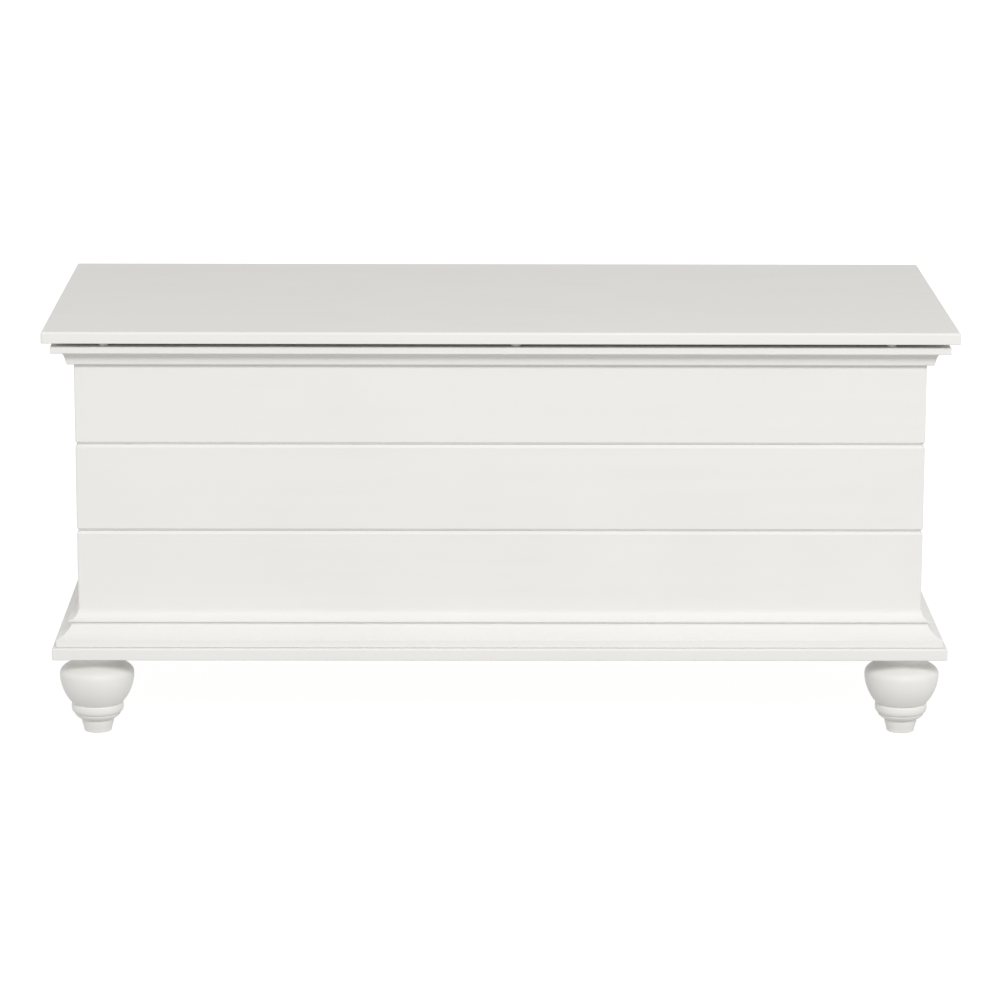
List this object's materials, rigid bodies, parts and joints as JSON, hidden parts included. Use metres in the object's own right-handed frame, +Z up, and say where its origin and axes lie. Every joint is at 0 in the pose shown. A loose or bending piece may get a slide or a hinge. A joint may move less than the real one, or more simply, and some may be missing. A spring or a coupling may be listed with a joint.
{
  "type": "toy box",
  "caption": "Long, low painted wooden toy box with a hinged overhanging lid, grooved plank walls, moulded cornice and base, and turned bun feet.",
  "frame": {"origin": "on the floor, under the middle of the whole object's footprint", "axes": "+X to the right along the box's length, -Y out of the front, +Z up"},
  "size_m": [1.1176, 0.5164, 0.5155],
  "materials": {
    "white_paint": "satin white paint on solid wood",
    "hinge_steel": "zinc-plated steel",
    "bolt_steel": "zinc-plated steel",
    "insert_brass": "plain turned brass",
    "bumper_rubber": "matt pale grey"
  },
  "bodies": {
    "box": {"base_board": "white_paint", "back_panel": "white_paint", "back_rail": "white_paint", "rear_rim": "white_paint", "front_plank_bottom": "white_paint", "right_plank_bottom": "white_paint", "left_plank_bottom": "white_paint", "front_plank_middle": "white_paint", "right_plank_middle": "white_paint", "left_plank_middle": "white_paint", "front_plank_top": "white_paint", "right_plank_top": "white_paint", "left_plank_top": "white_paint", "front_base_moulding": "white_paint", "right_base_moulding": "white_paint", "left_base_moulding": "white_paint", "front_base_cove": "white_paint", "right_base_cove": "white_paint", "left_base_cove": "white_paint", "front_cornice": "white_paint", "right_cornice": "white_paint", "left_cornice": "white_paint", "front_rim": "white_paint", "right_rim": "white_paint", "left_rim": "white_paint", "post_front_left": "white_paint", "post_front_right": "white_paint", "post_rear_left": "white_paint", "post_rear_right": "white_paint", "foot_front_left": "white_paint", "foot_front_right": "white_paint", "foot_rear_left": "white_paint", "foot_rear_right": "white_paint", "foot_bolt_front_left": "bolt_steel", "foot_bolt_front_right": "bolt_steel", "foot_bolt_rear_left": "bolt_steel", "foot_bolt_rear_right": "bolt_steel", "foot_insert_front_left": "insert_brass", "foot_insert_front_right": "insert_brass", "foot_insert_rear_left": "insert_brass", "foot_insert_rear_right": "insert_brass", "bumper_left": "bumper_rubber", "bumper_middle": "bumper_rubber", "bumper_right": "bumper_rubber", "hinge_left_box_leaf": "hinge_steel", "hinge_middle_box_leaf": "hinge_steel", "hinge_right_box_leaf": "hinge_steel", "hinge_left_pin": "hinge_steel", "hinge_middle_pin": "hinge_steel", "hinge_right_pin": "hinge_steel"},
    "lid": {"lid_panel": "white_paint", "hinge_left_lid_leaf": "hinge_steel", "hinge_middle_lid_leaf": "hinge_steel", "hinge_right_lid_leaf": "hinge_steel"}
  },
  "joints": [
    {"name": "lid_hinge", "type": "hinge", "parent": "box", "child": "lid", "pos_m": [0, 0.25425, 0.4982], "axis": [-1, 0, 0], "range_deg": [0, 95]}
  ]
}
